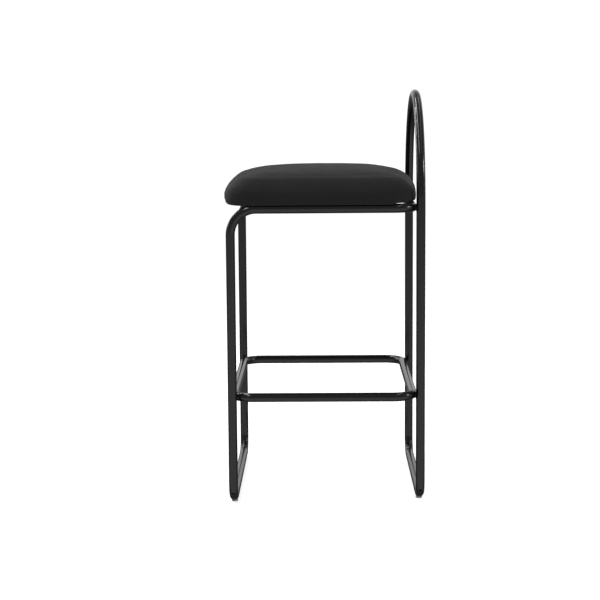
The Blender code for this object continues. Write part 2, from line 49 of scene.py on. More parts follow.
# ---- Sizes, in metres, and places read from the frame ----
TUBE_RADIUS = 9.0 * MM
TUBE_WALL = 1.5 * MM
FLOOR_BEND = 36 * MM
TOP_BEND = 50 * MM
CORNER_BEND = 40 * MM
CAD_FLAT = TUBE_RADIUS * math.cos(math.pi / 16)   # the CAD tubes have sixteen flats
JOINT_GAP = 0.3 * MM

low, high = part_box("front_frame_tube")
FRONT_X = low.x + CAD_FLAT
SEAT_REAR_X = high.x - CAD_FLAT
SIDE_Y = high.y - CAD_FLAT
FLOOR_Z = low.z + CAD_FLAT
SEAT_Z = high.z - CAD_FLAT
low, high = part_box("rear_arch_tube")
REAR_X = (low.x + high.x) / 2
REAR_Y = high.y - CAD_FLAT
ARCH_Z = high.z - CAD_FLAT
low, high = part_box("footrest_ring")
RING_FRONT_X = low.x + CAD_FLAT
RING_REAR_X = high.x - CAD_FLAT
RING_Z = (low.z + high.z) / 2
CORNERS = ("front_left", "front_right", "rear_left", "rear_right")


# ---- Shading helpers ----
def plug(links, socket, value):
    """Link an input to an output, or set it to a plain value; a colour may leave out its alpha."""
    if isinstance(value, bpy.types.NodeSocket):
        links.new(value, socket)
    elif isinstance(value, tuple) and len(value) < len(socket.default_value):
        socket.default_value = (*value, 1.0)
    else:
        socket.default_value = value


def add_node(tree, kind, operation=None, **values):
    """A new node, its inputs linked or set by name, or by number as i0, i1 and so on."""
    node = tree.nodes.new(kind)
    if operation:
        node.operation = operation
    for name, value in values.items():
        index = int(name[1:]) if name[0] == "i" and name[1:].isdigit() else name
        plug(tree.links, node.inputs[index], value)
    return node


class Shader:
    """A Principled material under construction, with its node tree at hand."""

    def __init__(self, name, roughness=0.5, metallic=0.0):
        self.material = bpy.data.materials.new(name)
        self.material.use_nodes = True
        self.tree = self.material.node_tree
        self.bsdf = self.tree.nodes["Principled BSDF"]
        self.feed("Roughness", roughness)
        self.feed("Metallic", metallic)
        self.coordinate = self.add("ShaderNodeTexCoord")
        self.place = self.coordinate.outputs["Object"]

    def add(self, kind, operation=None, **values):
        return add_node(self.tree, kind, operation, **values)

    def feed(self, name, value):
        """Link or set one input of the Principled shader."""
        plug(self.tree.links, self.bsdf.inputs[name], value)

    def noise(self, scale, detail=4.0, roughness=0.5, stretch=None):
        """A noise pattern, its scale in cycles a metre, optionally stretched along the axes."""
        place = self.place
        if stretch:
            place = self.add("ShaderNodeMapping", Vector=place, Scale=stretch).outputs["Vector"]
        texture = self.add("ShaderNodeTexNoise", Vector=place, Scale=scale, Detail=detail,
                           Roughness=roughness)
        return texture.outputs["Fac"]

    def wave(self, direction, period):
        """Even bands along one axis; at a scale of 1 the texture's own lie pi / 10 apart."""
        texture = self.add("ShaderNodeTexWave", Vector=self.place, Scale=math.pi / 10 / period)
        texture.bands_direction = direction
        return texture.outputs["Fac"]

    def math(self, operation, *values):
        sockets = {f"i{index}": value for index, value in enumerate(values)}
        return self.add("ShaderNodeMath", operation, **sockets).outputs[0]

    def ramp(self, fac, stops):
        """Colours or greys at positions along a factor."""
        node = self.add("ShaderNodeValToRGB", Fac=fac)
        elements = node.color_ramp.elements
        while len(elements) < len(stops):
            elements.new(0.5)
        for element, (position, color) in zip(elements, stops):
            element.position = position
            color = (color,) * 3 if isinstance(color, (int, float)) else color
            element.color = (*color, 1.0)
        return node.outputs["Color"]

    def mix(self, fac, first, second):
        node = self.add("ShaderNodeMix")
        node.data_type = "RGBA"
        for name, value in (("Factor", fac), ("A", first), ("B", second)):
            plug(self.tree.links, node.inputs[name], value)
        return node.outputs["Result"]

    def bump(self, height, distance, strength=1.0, under=None):
        """Relief on the surface, laid over an earlier bump where one is given."""
        node = self.add("ShaderNodeBump", Strength=strength, Distance=distance, Height=height)
        if under is not None:
            plug(self.tree.links, node.inputs["Normal"], under)
        self.feed("Normal", node.outputs["Normal"])
        return node.outputs["Normal"]


def powder_coat(name, shade=1.0):
    """Satin black powder coat: fine orange peel, faint cloudiness and scattered paler specks."""
    shader = Shader(name, roughness=0.2)
    cloud = shader.noise(14, detail=5)
    # The shade factor scales every colour of the coat; below 1 it darkens the coat as painted shade.
    base = shader.ramp(cloud, [(0.3, (0.0085 * shade, 0.0083 * shade, 0.0080 * shade)),
                               (0.7, (0.0115 * shade, 0.0112 * shade, 0.0108 * shade))])
    speck = shader.noise(2600, detail=1)
    specks = shader.ramp(speck, [(0.70, 0.0), (0.78, 1.0)])
    base = shader.mix(specks, base, (0.026 * shade, 0.025 * shade, 0.024 * shade))
    shader.feed("Base Color", base)
    haze = shader.noise(35, detail=6, roughness=0.6)
    shader.feed("Roughness", shader.ramp(haze, [(0.25, 0.13), (0.75, 0.19)]))
    peel = shader.noise(750, detail=2)
    wave = shader.bump(peel, 0.015 * MM, 0.25)
    shader.bump(shader.noise(2200, detail=2), 0.005 * MM, 0.25, under=wave)
    return shader.material


COAT = powder_coat("satin_black_coat")
# The weld beads get a copy of the coat darkened to 92%: painted shade for their hollow fillets.
SHADED_WELD_COAT = powder_coat("weld_coat", shade=0.92)


# ---- Mesh helpers ----
def add_piece(name, mesh, material, replaced=(), smooth=True):
    """Put a finished mesh in the scene, riding on the stool."""
    if smooth:
        mesh.shade_smooth()
        mesh.set_sharp_from_angle(angle=math.radians(40))
    mesh.materials.clear()
    mesh.materials.append(material)
    piece = bpy.data.objects.new(name, mesh)
    bpy.context.scene.collection.objects.link(piece)
    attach(piece, "root")
    if replaced:
        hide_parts(*replaced)
    return piece


def finish_mesh(name, build, outward=True):
    if outward:
        bmesh.ops.recalc_face_normals(build, faces=build.faces)
    mesh = bpy.data.meshes.new(name)
    build.to_mesh(mesh)
    build.free()
    return mesh


def bridge(build, first, second, turn=0):
    sides = len(first)
    for corner in range(sides):
        after = (corner + 1) % sides
        build.faces.new((first[corner], first[after],
                         second[(after + turn) % sides], second[(corner + turn) % sides]))


def stack(build, rings, capped=True):
    """Bridge each ring to the next, and close both ends where capped."""
    for first, second in zip(rings, rings[1:]):
        bridge(build, first, second)
    if capped:
        build.faces.new(rings[0])
        build.faces.new(rings[-1])


def rounded_loop(corners, radii, steps):
    """Points round a closed route of straight runs, with an arc of its own radius at each corner."""
    points = []
    for index, corner in enumerate(corners):
        corner = Vector(corner)
        toward_last = (Vector(corners[index - 1]) - corner).normalized()
        toward_next = (Vector(corners[(index + 1) % len(corners)]) - corner).normalized()
        radius = radii[index]
        centre = corner + (toward_last + toward_next) * radius
        for step in range(steps[index] + 1):
            angle = math.pi / 2 * step / steps[index]
            point = centre - toward_next * radius * math.cos(angle) - toward_last * radius * math.sin(angle)
            if not points or (point - points[-1]).length > 1e-6:
                points.append(point)
    return points


def sweep(build, points, radius, sides):
    """A closed tube round a loop: each section lies in the plane that halves the bend there."""
    count = len(points)
    side = Vector((0, 0, 1))
    rings = []
    for index, point in enumerate(points):
        before = (point - points[index - 1]).normalized()
        after = (points[(index + 1) % count] - point).normalized()
        along = (before + after).normalized()
        if index == 0 and abs(along.z) > 0.9:
            side = Vector((1, 0, 0))
        side = (side - along * side.dot(along)).normalized()
        across = along.cross(side)
        bend = after - before
        ring = []
        for corner in range(sides):
            angle = math.tau * corner / sides
            offset = (side * math.cos(angle) + across * math.sin(angle)) * radius
            if bend.length > 1e-6:
                inward = bend.normalized()
                offset += inward * offset.dot(inward) * (1 / along.dot(after) - 1)
            ring.append(build.verts.new(point + offset))
        rings.append(ring)
    stack(build, rings, capped=False)
    start = rings[-1][0].co - points[-1]
    turns = [(rings[0][turn].co - points[0] - start).length for turn in range(sides)]
    bridge(build, rings[-1], rings[0], turns.index(min(turns)))


def bar(name, start, end, radius, sides):
    """A closed round bar between two points."""
    build = bmesh.new()
    start, end = Vector(start), Vector(end)
    turn = Vector((0, 0, 1)).rotation_difference(end - start).to_matrix().to_4x4()
    bmesh.ops.create_cone(build, cap_ends=True, segments=sides, radius1=radius, radius2=radius,
                          depth=(end - start).length, matrix=Matrix.Translation((start + end) / 2) @ turn)
    return finish_mesh(name, build)


def evaluated_mesh(piece):
    graph = bpy.context.evaluated_depsgraph_get()
    graph.update()
    return bpy.data.meshes.new_from_object(piece.evaluated_get(graph), depsgraph=graph)


def cut(mesh, cutters, name):
    """The mesh with each cutter taken out of it, as a new mesh."""
    scene = bpy.context.scene
    body = bpy.data.objects.new(f"{name}_uncut", mesh)
    scene.collection.objects.link(body)
    tools = []
    for index, cutter in enumerate(cutters):
        tool = bpy.data.objects.new(f"{name}_cutter_{index}", cutter)
        scene.collection.objects.link(tool)
        boolean = body.modifiers.new(tool.name, "BOOLEAN")
        boolean.solver = "EXACT"
        boolean.operation = "DIFFERENCE"
        boolean.object = tool
        tools.append(tool)
    result = evaluated_mesh(body)
    for extra in [body] + tools:
        bpy.data.objects.remove(extra, do_unlink=True)
    result.name = name
    return result


# ---- Tubes ----
SIDES = 48
BORE_SIDES = 24
HOLE_SIDES = 24
SMALL_STEPS = 18
ARCH_STEPS = 60
VENT_RADIUS = 2.8 * MM
VENT_HEIGHT = 26 * MM
PIN_RADIUS = 2.7 * MM


def tube_piece(name, route, node, holes):
    """A hollow tube drilled by bars given as (start, end, radius)."""
    outer = bmesh.new()
    sweep(outer, route, TUBE_RADIUS, SIDES)
    bore = bmesh.new()
    sweep(bore, route, TUBE_RADIUS - TUBE_WALL, BORE_SIDES)
    cutters = [finish_mesh(f"{name}_bore", bore)]
    cutters += [bar(f"{name}_hole_{index}", *hole, HOLE_SIDES) for index, hole in enumerate(holes)]
    mesh = cut(finish_mesh(f"{name}_solid", outer), cutters, name)
    return add_piece(name, mesh, COAT, [node])


def leg_vent(x, leg_y):
    """A hole through the outer wall of a floor bend, square to the tube."""
    side = math.copysign(1, leg_y)
    centre = Vector((x, leg_y - side * FLOOR_BEND, FLOOR_Z + FLOOR_BEND))
    fall = (centre.z - VENT_HEIGHT) / (FLOOR_BEND + TUBE_RADIUS)
    outward = Vector((0, side * math.sqrt(1 - fall ** 2), -fall))
    start = centre + outward * FLOOR_BEND
    return start, start + outward * 2 * TUBE_RADIUS, VENT_RADIUS


def glide_places():
    """Node name and axis of each glide."""
    for node in [f"glide_{corner}" for corner in CORNERS]:
        bottom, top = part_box(node)
        yield node, (bottom.x + top.x) / 2, (bottom.y + top.y) / 2


def pin_holes(x):
    return [((gx, gy, FLOOR_Z - 2 * TUBE_RADIUS), (gx, gy, FLOOR_Z), PIN_RADIUS + JOINT_GAP)
            for _, gx, gy in glide_places() if abs(gx - x) < TUBE_RADIUS]


front_corners = [(FRONT_X, -SIDE_Y, FLOOR_Z), (FRONT_X, SIDE_Y, FLOOR_Z), (FRONT_X, SIDE_Y, SEAT_Z),
                 (SEAT_REAR_X, SIDE_Y, SEAT_Z), (SEAT_REAR_X, -SIDE_Y, SEAT_Z), (FRONT_X, -SIDE_Y, SEAT_Z)]
front_route = rounded_loop(front_corners, [FLOOR_BEND] * 2 + [TOP_BEND] + [CORNER_BEND] * 2 + [TOP_BEND],
                           [SMALL_STEPS] * 6)
tube_piece("front_frame", front_route, "front_frame_tube",
           [leg_vent(FRONT_X, -SIDE_Y), leg_vent(FRONT_X, SIDE_Y)] + pin_holes(FRONT_X))

rear_corners = [(REAR_X, -REAR_Y, FLOOR_Z), (REAR_X, REAR_Y, FLOOR_Z),
                (REAR_X, REAR_Y, ARCH_Z), (REAR_X, -REAR_Y, ARCH_Z)]
rear_route = rounded_loop(rear_corners, [FLOOR_BEND] * 2 + [REAR_Y] * 2, [SMALL_STEPS] * 2 + [ARCH_STEPS] * 2)
tube_piece("rear_arch", rear_route, "rear_arch_tube",
           [leg_vent(REAR_X, -REAR_Y), leg_vent(REAR_X, REAR_Y)] + pin_holes(REAR_X))

ring_corners = [(RING_FRONT_X, -SIDE_Y, RING_Z), (RING_FRONT_X, SIDE_Y, RING_Z),
                (RING_REAR_X, SIDE_Y, RING_Z), (RING_REAR_X, -SIDE_Y, RING_Z)]
ring_route = rounded_loop(ring_corners, [CORNER_BEND] * 4, [SMALL_STEPS] * 4)
tube_piece("footrest", ring_route, "footrest_ring",
           [((RING_REAR_X, 0, RING_Z), (RING_REAR_X, 0, RING_Z - 2 * TUBE_RADIUS), VENT_RADIUS)])


# ---- Welds ----
WELD_NECK = 5.9 * MM
WELD_EDGE = 8.0 * MM
WELD_SINK = 0.12 * MM
WELD_RIPPLE = 0.10 * MM
WELD_UNEVEN = 0.35 * MM
WELD_PEAK = 2.5 * MM    # the middle of each end lies this deep, inside the tube's bore
WELD_FLARE = 1.8


def weld_piece(name, leg, bend_centre, node):
    """Concave weld metal round the point where an upright leg touches the outside of a level bend."""
    leg, bend_centre = Vector(leg), Vector(bend_centre)
    inward = (bend_centre - leg).normalized()
    sideways = Vector((-inward.y, inward.x, 0))
    touch = leg + inward * (TUBE_RADIUS + JOINT_GAP / 2)
    around, rows = 72, 14
    build = bmesh.new()
    rings = []
    for row in range(rows + 1):
        share = row / rows
        flare = abs(2 * share - 1) ** WELD_FLARE
        ring = []
        for step in range(around):
            angle = math.tau * step / around
            reach = WELD_NECK + (WELD_EDGE - WELD_NECK) * flare
            reach += WELD_RIPPLE * math.sin(18 * angle + 2.2 * math.sin(3 * angle)) * (1 - flare)
            place = Vector((math.cos(angle), math.sin(angle), share)) * 1.7 + touch * 40
            reach += WELD_UNEVEN * noise.noise(place)
            across, upward = reach * math.cos(angle), reach * math.sin(angle)
            leg_fall = TUBE_RADIUS - math.sqrt(TUBE_RADIUS ** 2 - across ** 2)
            wide = CORNER_BEND + math.sqrt(TUBE_RADIUS ** 2 - upward ** 2)
            bend_fall = CORNER_BEND + TUBE_RADIUS - math.sqrt(wide ** 2 - across ** 2)
            depth = (bend_fall + WELD_SINK) * share - (leg_fall + WELD_SINK) * (1 - share)
            ring.append(build.verts.new(touch + inward * depth + sideways * across + Vector((0, 0, upward))))
        rings.append(ring)
    stack(build, rings, capped=False)
    for ring, direction in ((rings[0], -1), (rings[-1], 1)):
        centre = build.verts.new(touch + inward * direction * WELD_PEAK)
        for step in range(around):
            build.faces.new((ring[step], ring[(step + 1) % around], centre))
    add_piece(name, finish_mesh(name, build), SHADED_WELD_COAT, [node])


for side_name, sign in (("left", -1), ("right", 1)):
    weld_piece(f"footrest_front_bead_{side_name}", (FRONT_X, sign * SIDE_Y, RING_Z),
               (RING_FRONT_X + CORNER_BEND, sign * (SIDE_Y - CORNER_BEND), RING_Z),
               f"footrest_weld_front_{side_name}")
    weld_piece(f"footrest_rear_bead_{side_name}", (REAR_X, sign * REAR_Y, RING_Z),
               (RING_REAR_X - CORNER_BEND, sign * (SIDE_Y - CORNER_BEND), RING_Z),
               f"footrest_weld_rear_{side_name}")
    weld_piece(f"seat_bead_{side_name}", (REAR_X, sign * REAR_Y, SEAT_Z),
               (SEAT_REAR_X - CORNER_BEND, sign * (SIDE_Y - CORNER_BEND), SEAT_Z), f"seat_weld_{side_name}")


# ---- Glides ----
BARB_HEIGHT = 1.2 * MM
BARB_RADIUS = 3.3 * MM


def glide_material():
    """Translucent grey polyethylene with a cloudy core and scuffs on the foot."""
    shader = Shader("grey_glide_plastic", roughness=0.42)
    base = shader.ramp(shader.noise(180, detail=3), [(0.3, (0.34, 0.34, 0.335)), (0.7, (0.42, 0.42, 0.415))])
    shader.feed("Base Color", base)
    shader.feed("Roughness", shader.ramp(shader.noise(600, detail=4), [(0.3, 0.32), (0.7, 0.55)]))
    shader.feed("Subsurface Weight", 0.35)
    shader.feed("Subsurface Radius", (3 * MM, 3 * MM, 3 * MM))
    shader.bump(shader.noise(900, detail=3), 0.04 * MM, 0.6)
    return shader.material


def glide_piece(node, x, y, material):
    """A foot whose top follows the tube, with a barbed pin up through the tube's wall."""
    bottom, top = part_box(node)
    radius = (top.x - bottom.x) / 2
    around = 48
    saddle_radius = TUBE_RADIUS + JOINT_GAP
    barb = top.z - BARB_HEIGHT
    edge = [(0.6, 0.0), (radius / MM - 1.3, 0.0), (radius / MM - 0.7, 0.12), (radius / MM - 0.25, 0.45),
            (radius / MM, 1.1)]
    build = bmesh.new()

    def ring(distance, height):
        """A level ring, or one on the saddle where height is None."""
        made = []
        for step in range(around):
            angle = math.tau * step / around
            across = distance * math.cos(angle)
            level = FLOOR_Z - math.sqrt(saddle_radius ** 2 - across ** 2) if height is None else height
            made.append(build.verts.new((x + across, y + distance * math.sin(angle), level)))
        return made

    rings = [ring(distance * MM, height * MM) for distance, height in edge]
    rings += [ring(radius, None), ring(radius - 0.4 * MM, None), ring(PIN_RADIUS, None)]
    rings += [ring(PIN_RADIUS, barb), ring(BARB_RADIUS, barb), ring(PIN_RADIUS, top.z)]
    stack(build, rings)
    name = node.replace("glide", "foot_glide")
    add_piece(name, finish_mesh(node, build), material, [node])


plastic = glide_material()
for node, x, y in list(glide_places()):
    glide_piece(node, x, y, plastic)


# ---- Seat fixings ----
def zinc(name):
    """Zinc-plated steel: faint blue-grey mottling, fine turning marks and dull patches."""
    shader = Shader(name, roughness=0.3, metallic=1.0)
    mottle = shader.noise(300, detail=5)
    base = shader.ramp(mottle, [(0.25, (0.46, 0.47, 0.48)), (0.6, (0.60, 0.60, 0.59)),
                               (0.8, (0.66, 0.65, 0.62))])
    shader.feed("Base Color", base)
    shader.feed("Roughness", shader.ramp(shader.noise(900, detail=4), [(0.3, 0.22), (0.75, 0.48)]))
    shader.bump(shader.noise(2500, detail=2, stretch=(1, 1, 0.2)), 0.02 * MM, 0.5)
    return shader.material


ZINC = zinc("zinc_plate")
TAB_THICKNESS = 3 * MM
TAB_CORNER = 6 * MM
TAB_CORNER_STEPS = 8
TAB_GAP = 0.02 * MM
BROKEN_EDGE = 0.35 * MM
HOLE_RADIUS = 3.5 * MM
RAIL_SIDES = 96
TAB_HOLE_SIDES = 32
BEAD_RADIUS = 3.1 * MM
BEAD_LEAST = 0.25 * MM
BEAD_SKEW = 0.35 * MM
BEAD_SINK = 0.15 * MM
SLAB = (24 * MM, 10 * MM)        # width and height of the block that squares off the bead's top
SLAB_RISE = 5.15 * MM
WASHER_EDGE = 0.25 * MM
HEAD_HEIGHT = 3.5 * MM
HEAD_DOME = 2.4 * MM
HEAD_FLAT = (3.1 * MM, 3.7 * MM)   # radii of the level face and of where the dome begins
HEAD_LIP = 0.1 * MM
HEAD_CHAMFER = 0.2 * MM
SHANK_RADIUS = 3 * MM
SOCKET_DEPTH = 2.2 * MM
SOCKET_WIDTH = 4 * MM            # across its flats


def turned_into(build, profile, x, y, sides=48):
    """Spin a closed outline of (radius, height) points about an upright; a radius of 0 makes a pole."""
    rings = []
    for radius, height in profile:
        if radius == 0:
            rings.append([build.verts.new((x, y, height))])
        else:
            rings.append([build.verts.new((x + radius * math.cos(math.tau * step / sides),
                                           y + radius * math.sin(math.tau * step / sides), height))
                          for step in range(sides)])
    closed = rings if profile[0][0] == 0 else rings + rings[:1]
    for first, second in zip(closed, closed[1:]):
        for step in range(sides):
            after = (step + 1) % sides
            face = [first[step % len(first)], first[after % len(first)],
                    second[after % len(second)], second[step % len(second)]]
            build.faces.new(list(dict.fromkeys(face)))


def screw_places():
    """Corner name and axis of each seat screw."""
    for place in CORNERS:
        bottom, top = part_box(f"seat_washer_{place}")
        yield place, (bottom.x + top.x) / 2, (bottom.y + top.y) / 2


def tab_piece(place, x, y):
    """A plate with rounded free corners and a broken edge, reaching the rail with its top level."""
    bottom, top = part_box(f"mounting_tab_{place}")
    sign = math.copysign(1, y)
    free_end = bottom.y if sign > 0 else top.y
    half = (top.x - bottom.x) / 2
    outline = []
    for turn in (1, -1):
        centre_x = x + turn * (half - TAB_CORNER)
        centre_y = free_end + sign * TAB_CORNER
        for step in range(TAB_CORNER_STEPS + 1):
            angle = math.pi / 2 * step / TAB_CORNER_STEPS
            angle = angle if turn > 0 else math.pi / 2 - angle
            outline.append((centre_x + turn * TAB_CORNER * math.cos(angle),
                            centre_y - sign * TAB_CORNER * math.sin(angle)))
    middle = sum(px for px, _ in outline) / len(outline), sum(py for _, py in outline) / len(outline)
    outline += [(x - half, sign * SIDE_Y), (x + half, sign * SIDE_Y)]
    build = bmesh.new()
    levels = []
    for inset, height in ((BROKEN_EDGE, 0), (0, BROKEN_EDGE), (0, TAB_THICKNESS - BROKEN_EDGE),
                          (BROKEN_EDGE, TAB_THICKNESS)):
        ring = []
        for px, py in outline:
            away = Vector((px - middle[0], py - middle[1]))
            away = away * (1 - inset / max(away.length, MM))
            ring.append(build.verts.new((middle[0] + away.x, middle[1] + away.y,
                                         top.z - TAB_THICKNESS + height)))
        levels.append(ring)
    stack(build, levels)
    cutters = [bar("rail", (x - 2 * half, sign * SIDE_Y, SEAT_Z), (x + 2 * half, sign * SIDE_Y, SEAT_Z),
                   TUBE_RADIUS + TAB_GAP, RAIL_SIDES),
               bar("hole", (x, y, top.z - 2 * TAB_THICKNESS), (x, y, top.z + TAB_THICKNESS), HOLE_RADIUS,
                   TAB_HOLE_SIDES)]
    add_piece(f"tab_{place}", cut(finish_mesh("tab", build), cutters, f"tab_{place}"), COAT,
              [f"mounting_tab_{place}"])
    tab_bead(place, x, sign, top.z - TAB_THICKNESS)


def tab_bead(place, x, sign, plate_z):
    """A rippled fillet along the corner between the plate's underside and the rail."""
    bottom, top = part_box(f"tab_weld_{place}")
    length = top.x - bottom.x
    drop = SEAT_Z - plate_z
    root = Vector((x, sign * (SIDE_Y - math.sqrt(TUBE_RADIUS ** 2 - drop ** 2)), plate_z))
    build = bmesh.new()
    rows, around = 66, 20
    rings = []
    for row in range(rows + 1):
        share = row / rows
        ends = math.sqrt(max(0.0, 1 - abs(2 * share - 1) ** 5))
        uneven = noise.noise(Vector((share * 5, x * 50, 0)))
        ripple = 1 + 0.05 * math.sin(share * math.tau * 11) + 0.04 * uneven
        radius = max(BEAD_LEAST, BEAD_RADIUS * ends * ripple)
        rings.append([build.verts.new((root.x + (share - 0.5) * length
                                       + BEAD_SKEW * math.cos(2 * math.tau * step / around) * ends,
                                       root.y + radius * math.cos(math.tau * step / around),
                                       root.z + radius * math.sin(math.tau * step / around)))
                      for step in range(around)])
    stack(build, rings)
    rail = bar("rail", (x - length, sign * SIDE_Y, SEAT_Z), (x + length, sign * SIDE_Y, SEAT_Z),
               TUBE_RADIUS - BEAD_SINK, RAIL_SIDES)
    slab = bmesh.new()
    bmesh.ops.create_cube(slab, size=1.0)
    bmesh.ops.scale(slab, vec=(2 * length, *SLAB), verts=slab.verts)
    bmesh.ops.translate(slab, vec=(x, root.y, plate_z + SLAB_RISE), verts=slab.verts)
    cutters = [rail, finish_mesh("slab", slab)]
    mesh = cut(finish_mesh("bead", build), cutters, f"tab_bead_{place}")
    add_piece(f"tab_bead_{place}", mesh, SHADED_WELD_COAT, [f"tab_weld_{place}"])


def washer_piece(place, x, y):
    bottom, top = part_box(f"seat_washer_{place}")
    outer, edge = (top.x - bottom.x) / 2, WASHER_EDGE
    profile = [(HOLE_RADIUS, bottom.z + edge), (HOLE_RADIUS + edge, bottom.z), (outer - edge, bottom.z),
               (outer, bottom.z + edge), (outer, top.z - edge), (outer - edge, top.z), (HOLE_RADIUS, top.z)]
    build = bmesh.new()
    turned_into(build, profile, x, y)
    add_piece(f"washer_{place}", finish_mesh("washer", build), ZINC, [f"seat_washer_{place}"])


def screw_piece(place, x, y):
    """A socket-head screw: domed head with a hexagonal socket, shank and chamfered tip."""
    bottom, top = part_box(f"seat_screw_{place}")
    head, shank = (top.x - bottom.x) / 2, SHANK_RADIUS
    seat = bottom.z + HEAD_HEIGHT
    flat, face = HEAD_FLAT
    profile = [(0, bottom.z), (flat, bottom.z), (face, bottom.z + HEAD_LIP)]
    for step in range(1, 8):
        angle = math.pi / 2 * step / 7
        profile.append((face + (head - face) * math.sin(angle),
                        bottom.z + HEAD_LIP + HEAD_DOME * (1 - math.cos(angle))))
    profile += [(head, seat - HEAD_CHAMFER), (head - HEAD_CHAMFER, seat), (shank, seat), (shank, top.z - MM),
                (shank - MM, top.z), (0, top.z)]
    build = bmesh.new()
    turned_into(build, profile, x, y)
    socket = bar("socket", (x, y, bottom.z - MM), (x, y, bottom.z + SOCKET_DEPTH),
                 SOCKET_WIDTH / math.sqrt(3), 6)
    mesh = cut(finish_mesh("screw", build), [socket], f"screw_{place}")
    add_piece(f"screw_{place}", mesh, ZINC, [f"seat_screw_{place}"])


for place, x, y in list(screw_places()):
    tab_piece(place, x, y)
    washer_piece(place, x, y)
    screw_piece(place, x, y)


# ---- Cushion ----
low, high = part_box("seat_cover")
SEAT_X = (low.x + high.x) / 2
SEAT_HALF = ((high.x - low.x) / 2, (high.y - low.y) / 2)
SEAT_BOTTOM = low.z + 0.2 * MM
SEAT_CORNER = 62 * MM
NOSE = 12 * MM                   # underside to the widest part of the side
UNDER_ROUND = (4 * MM, 8 * MM)   # at the sides, and at the front and rear
SHOULDER_WIDTH = (32 * MM, 25 * MM)   # at the front and sides, and at the rear
SHOULDER_POWER = (1.5, 1.8)
SHOULDER_RISE = 34 * MM
CROWN_RISE = high.z - low.z - NOSE - SHOULDER_RISE
CROWN_POWER = 2.6
BOW_OUT = 2.8 * MM               # at the middle of the front and rear edges
BOW_IN = 9.0 * MM                # lost again towards the corners
BOW_REACH = 148 * MM
TIGHTENING = (1.3 * MM, 3.4 * MM)   # the cover draws the sides in by this at the nose, and by more above it
CROWN_SWELL = 6.0 * MM           # the middle of the top rises by this as the cover swells
CROWN_SWELL_HALF = (185 * MM, 215 * MM)
SWELL_CAP = 5 * MM
SWELL_SMOOTHING = 40             # rounds of averaging with the neighbours
DROOP = 3.7 * MM                 # of the lower edge outside the rails
REAR_DROOP = 2.5 * MM            # more of it towards the rear corners
VOXEL = 5.5 * MM
CLOTH_FRAMES = 20
CLOTH_SETTINGS = {"quality": 6, "mass": 0.3, "tension_stiffness": 18, "compression_stiffness": 18,
                  "shear_stiffness": 8, "bending_stiffness": 1.5, "use_pressure": True,
                  "uniform_pressure_force": 4}
RAIL_LEAD = 16 * MM              # how much of the rails' front bends still carries the cushion
UNEVEN = ((0.45 * MM, 22), (0.18 * MM, 75))   # depth and scale of the broad and the fine unevenness
PULL_MARKS = (0.28 * MM, 34)     # depth and number of them
DROOP_HEIGHT = (26 * MM, 46 * MM)   # above which the droop and the rear droop have died out


def smooth(value):
    value = min(1.0, max(0.0, value))
    return value * value * (3 - 2 * value)


def rounded_outline(half, radius, corner_steps, side_steps):
    """Plan points round a rounded rectangle, each with the direction that points out of it."""
    corners = []
    for quarter in range(4):
        centre = Vector(((half[0] - radius) * (1 if quarter in (0, 3) else -1),
                         (half[1] - radius) * (1 if quarter in (0, 1) else -1)))
        ways = [Vector((math.cos(angle), math.sin(angle))) for angle in
                (math.pi / 2 * (quarter + step / corner_steps) for step in range(corner_steps + 1))]
        corners.append([(centre + way * radius, way) for way in ways])
    points = []
    for quarter, corner in enumerate(corners):
        points += corner
        start, way = corner[-1]
        end = corners[(quarter + 1) % 4][0][0]
        count = side_steps[quarter % 2]
        points += [(start.lerp(end, step / count), way) for step in range(1, count)]
    return points


SEAT_EDGE = rounded_outline(SEAT_HALF, SEAT_CORNER, 12, (14, 16))


def under_round(way):
    return UNDER_ROUND[0] + (UNDER_ROUND[1] - UNDER_ROUND[0]) * way.x ** 2


def bowed(x, y):
    """Bow the front and rear edges outward at their middles, and place the outline on the stool."""
    share = max(-1.0, min(1.0, x / SEAT_HALF[0]))
    outward = BOW_OUT - BOW_IN * min((y / BOW_REACH) ** 2, 1.1)
    return SEAT_X + x + math.copysign(share * share, share) * outward, y


def shoulder(x, y, inset):
    """Height of the cushion's top above its nose at a plan point."""
    rear = max(0.0, x / SEAT_HALF[0]) ** 4 * (1 - smooth((abs(y) / SEAT_HALF[1] - 0.5) / 0.5))
    width = SHOULDER_WIDTH[0] + (SHOULDER_WIDTH[1] - SHOULDER_WIDTH[0]) * rear
    power = SHOULDER_POWER[0] + (SHOULDER_POWER[1] - SHOULDER_POWER[0]) * rear
    lost = max(0.0, 1 - inset / width) ** power
    edge = SHOULDER_RISE * (1 - lost) ** (1 / power)
    crown_x, crown_y = (1 - min(1.0, abs(at) / half) ** CROWN_POWER for at, half in zip((x, y), SEAT_HALF))
    return edge + CROWN_RISE * (crown_x * crown_y)


def crown_swell(x, y):
    """How much the middle of the top rises as the cover swells."""
    share_x, share_y = abs(x + 15 * MM) / CROWN_SWELL_HALF[0], abs(y) / CROWN_SWELL_HALF[1]
    return CROWN_SWELL * max(0.0, 1 - share_x ** CROWN_POWER) * max(0.0, 1 - share_y ** CROWN_POWER)


